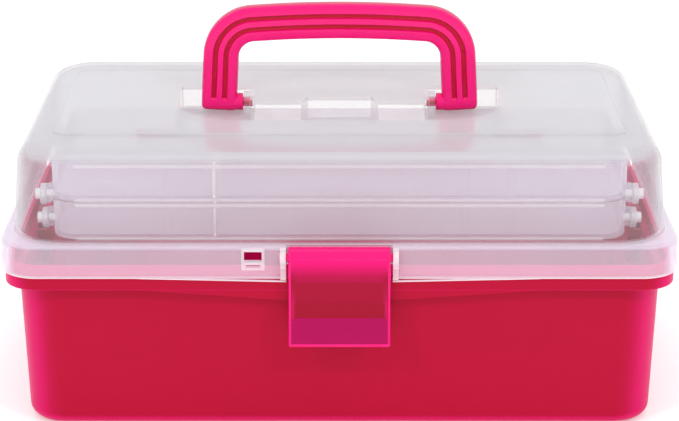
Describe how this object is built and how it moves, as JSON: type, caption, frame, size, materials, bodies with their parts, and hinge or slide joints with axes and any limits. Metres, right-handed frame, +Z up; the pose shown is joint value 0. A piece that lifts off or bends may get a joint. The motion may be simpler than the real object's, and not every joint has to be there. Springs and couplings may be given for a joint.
{
  "type": "sewing box with trays",
  "caption": "Sewing box with a clear domed lid, a folding carry handle, a front latch and clear trays that lift and step back on side arms as the lid opens.",
  "frame": {"origin": "centre of the tub's underside", "axes": "+X to the box's right seen from the front, +Y towards the hinges, +Z up"},
  "size_m": [0.33, 0.2176, 0.1884],
  "materials": {
    "tub_plastic": "satin moulded polypropylene",
    "lid_plastic": "clear moulded polypropylene, slightly milky",
    "latch_plastic": "glossy moulded polypropylene",
    "handle_plastic": "glossy moulded polypropylene",
    "tray_plastic": "clear moulded polypropylene",
    "divider_plastic": "clear moulded polypropylene",
    "arm_plastic": "milky moulded polypropylene",
    "pin_plastic": "milky moulded nylon",
    "pin_steel": "plain drawn wire"
  },
  "bodies": {
    "base": {"base_tub": "tub_plastic", "base_pin_rear_left": "pin_plastic", "base_pin_rear_right": "pin_plastic", "base_pin_front_left": "pin_plastic", "base_pin_front_right": "pin_plastic", "hinge_pin_left": "pin_steel", "hinge_pin_right": "pin_steel"},
    "lid": {"lid_skirt": "lid_plastic", "lid_walls": "lid_plastic", "lid_top": "lid_plastic", "lid_well": "lid_plastic", "padlock_loop": "lid_plastic"},
    "latch": {"latch": "latch_plastic"},
    "handle": {"handle": "handle_plastic"},
    "long_arms": {"long_arm_left": "arm_plastic", "long_arm_right": "arm_plastic"},
    "short_arms": {"short_arm_left": "arm_plastic", "short_arm_right": "arm_plastic"},
    "lower_tray": {"lower_tray": "tray_plastic", "lower_divider": "divider_plastic", "tray_pin_rear_left": "pin_plastic", "tray_pin_rear_right": "pin_plastic", "tray_pin_front_left": "pin_plastic", "tray_pin_front_right": "pin_plastic"},
    "upper_tray": {"upper_tray": "tray_plastic", "upper_divider": "divider_plastic", "upper_pin_front_left": "pin_plastic", "upper_pin_front_right": "pin_plastic", "lid_pin_left": "pin_plastic", "lid_pin_right": "pin_plastic"}
  },
  "joints": [
    {"name": "lid_hinge", "type": "hinge", "parent": "base", "child": "lid", "pos_m": [0, 0.105, 0.09], "axis": [-1, 0, 0], "range_deg": [0, 100]},
    {"name": "long_arm_hinge", "type": "hinge", "parent": "base", "child": "long_arms", "pos_m": [0, 0.01868, 0.08698], "axis": [-1, 0, 0], "range_deg": [0, 100]},
    {"name": "short_arm_hinge", "type": "hinge", "parent": "base", "child": "short_arms", "pos_m": [0, -0.01366, 0.08419], "axis": [-1, 0, 0], "range_deg": [0, 100]},
    {"name": "lower_tray_hinge", "type": "hinge", "parent": "long_arms", "child": "lower_tray", "pos_m": [0, -0.01766, 0.09809], "axis": [1, 0, 0], "range_deg": [0, 100]},
    {"name": "upper_tray_hinge", "type": "hinge", "parent": "long_arms", "child": "upper_tray", "pos_m": [0, -0.054, 0.1092], "axis": [1, 0, 0], "range_deg": [0, 100]},
    {"name": "latch_hinge", "type": "hinge", "parent": "lid", "child": "latch", "pos_m": [0, -0.101, 0.0926], "axis": [-1, 0, 0], "range_deg": [0, 95]},
    {"name": "handle_hinge", "type": "hinge", "parent": "lid", "child": "handle", "pos_m": [0, 0.021, 0.1352], "axis": [1, 0, 0], "range_deg": [0, 90]}
  ],
  "couplings": [
    {"joint": "long_arm_hinge", "follows": "lid_hinge", "ratio": 1},
    {"joint": "short_arm_hinge", "follows": "lid_hinge", "ratio": 1},
    {"joint": "lower_tray_hinge", "follows": "lid_hinge", "ratio": 1},
    {"joint": "upper_tray_hinge", "follows": "lid_hinge", "ratio": 1}
  ]
}
